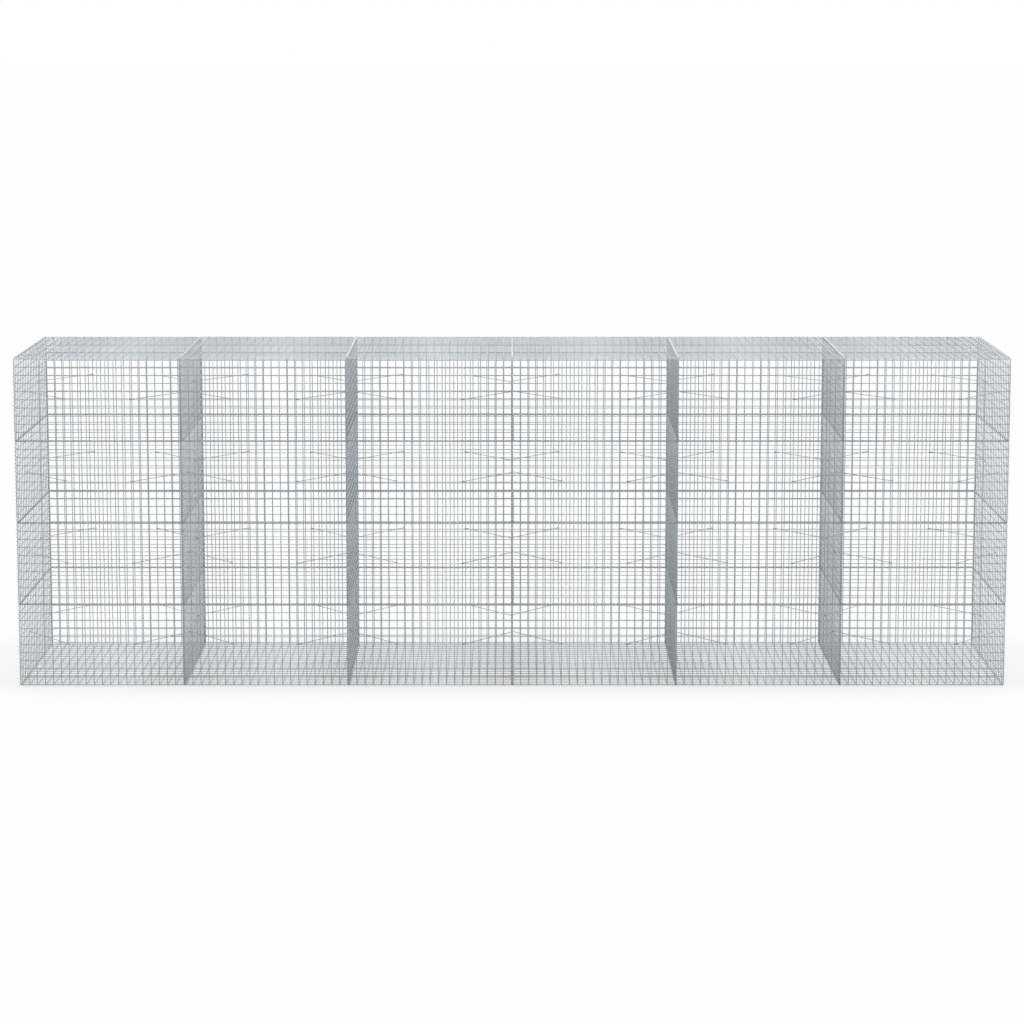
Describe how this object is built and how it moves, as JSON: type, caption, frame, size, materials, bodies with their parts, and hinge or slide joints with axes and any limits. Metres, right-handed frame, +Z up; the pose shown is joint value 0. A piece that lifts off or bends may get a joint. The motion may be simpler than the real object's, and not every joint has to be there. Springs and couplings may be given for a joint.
{
  "type": "gabion wall basket",
  "caption": "Empty lidded gabion wall: welded wire mesh panels form bays parted by dividers and tied by corner braces, for a stone fill.",
  "frame": {"origin": "under the middle of the basket, on the ground", "axes": "+X along the wall, +Y from front to back, +Z up"},
  "size_m": [6.0526, 1.0226, 2.0406],
  "materials": {
    "panel_wire": "galvanised, dull grey with a soft sheen",
    "brace_wire": "galvanised, a little darker"
  },
  "bodies": {
    "root": {"front_bay_1": "panel_wire", "back_bay_1": "panel_wire", "front_bay_2": "panel_wire", "back_bay_2": "panel_wire", "front_bay_3": "panel_wire", "back_bay_3": "panel_wire", "front_bay_4": "panel_wire", "back_bay_4": "panel_wire", "front_bay_5": "panel_wire", "back_bay_5": "panel_wire", "front_bay_6": "panel_wire", "back_bay_6": "panel_wire", "base_bay_1": "panel_wire", "cover_bay_1": "panel_wire", "base_bay_2": "panel_wire", "cover_bay_2": "panel_wire", "base_bay_3": "panel_wire", "cover_bay_3": "panel_wire", "base_bay_4": "panel_wire", "cover_bay_4": "panel_wire", "base_bay_5": "panel_wire", "cover_bay_5": "panel_wire", "base_bay_6": "panel_wire", "cover_bay_6": "panel_wire", "end_left": "panel_wire", "divider_1": "panel_wire", "divider_2": "panel_wire", "divider_3": "panel_wire", "divider_4": "panel_wire", "divider_5": "panel_wire", "end_right": "panel_wire", "braces_bay_1": "brace_wire", "braces_bay_2": "brace_wire", "braces_bay_3": "brace_wire", "braces_bay_4": "brace_wire", "braces_bay_5": "brace_wire", "braces_bay_6": "brace_wire"}
  },
  "joints": []
}
